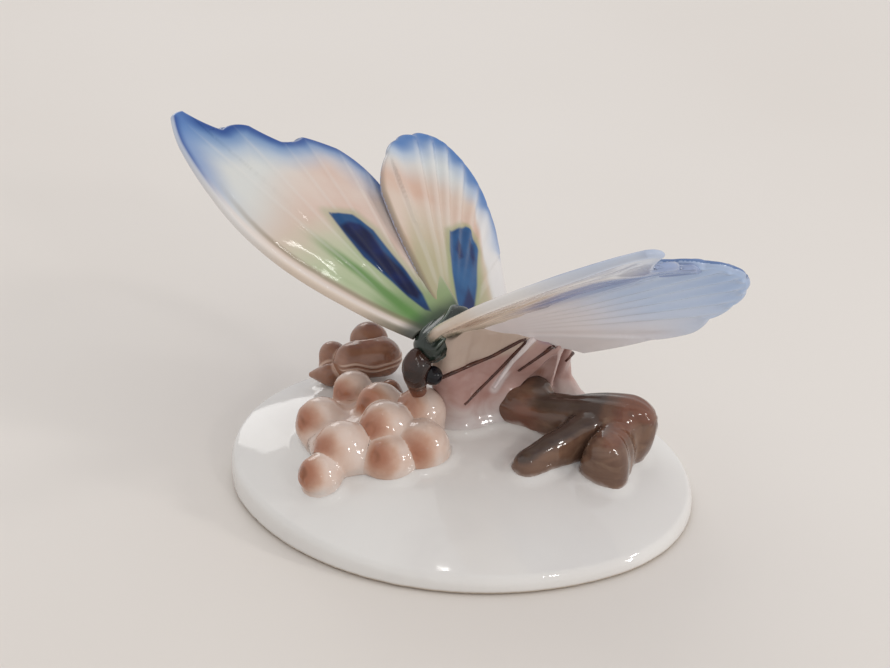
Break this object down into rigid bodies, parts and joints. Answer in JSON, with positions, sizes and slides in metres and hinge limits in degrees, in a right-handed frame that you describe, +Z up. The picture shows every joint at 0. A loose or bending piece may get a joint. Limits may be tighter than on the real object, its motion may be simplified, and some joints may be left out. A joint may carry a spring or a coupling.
{
  "type": "porcelain butterfly ornament",
  "caption": "Glazed porcelain butterfly with raised wings, drinking at round buds on a white oval mound beside a fallen brown branch.",
  "frame": {"origin": "middle of the flat foot plane that the oval mound rests on", "axes": "+Z up, +X along the mound's long axis, the butterfly's head towards -Y and -X"},
  "size_m": [0.1275, 0.1012, 0.0792],
  "materials": {
    "abdomen_brown": "gloss",
    "body_green": "gloss",
    "branch_brown": "gloss",
    "bud_paint": "gloss",
    "eye_black": "gloss",
    "forewing_paint": "gloss",
    "head_brown": "gloss",
    "hindwing_paint": "gloss",
    "leg_brown": "gloss",
    "pod_brown": "gloss",
    "wall_pink": "gloss",
    "white_glaze": "gloss"
  },
  "bodies": {
    "root": {"abdomen": "abdomen_brown", "branch_knob": "branch_brown", "branch_limb": "branch_brown", "branch_stump": "branch_brown", "branch_twig": "branch_brown", "bud_1": "bud_paint", "bud_2": "bud_paint", "bud_3": "bud_paint", "bud_4": "bud_paint", "bud_5": "bud_paint", "bud_6": "bud_paint", "bud_7": "bud_paint", "bud_8": "bud_paint", "bud_9": "bud_paint", "bud_bed": "white_glaze", "eye_left": "eye_black", "eye_right": "eye_black", "forewing_left": "forewing_paint", "forewing_right": "forewing_paint", "head": "head_brown", "hindwing_left": "hindwing_paint", "hindwing_right": "hindwing_paint", "leg_front_left": "leg_brown", "leg_front_right": "leg_brown", "leg_hind_left": "leg_brown", "leg_hind_right": "leg_brown", "leg_middle_left": "leg_brown", "leg_middle_right": "leg_brown", "leg_wall": "wall_pink", "leg_web": "wall_pink", "mound": "white_glaze", "pod_middle": "pod_brown", "pod_side": "pod_brown", "pod_small": "pod_brown", "pod_tip": "pod_brown", "pod_top": "pod_brown", "proboscis": "head_brown", "thorax": "body_green", "wing_strut": "wall_pink"}
  },
  "joints": []
}
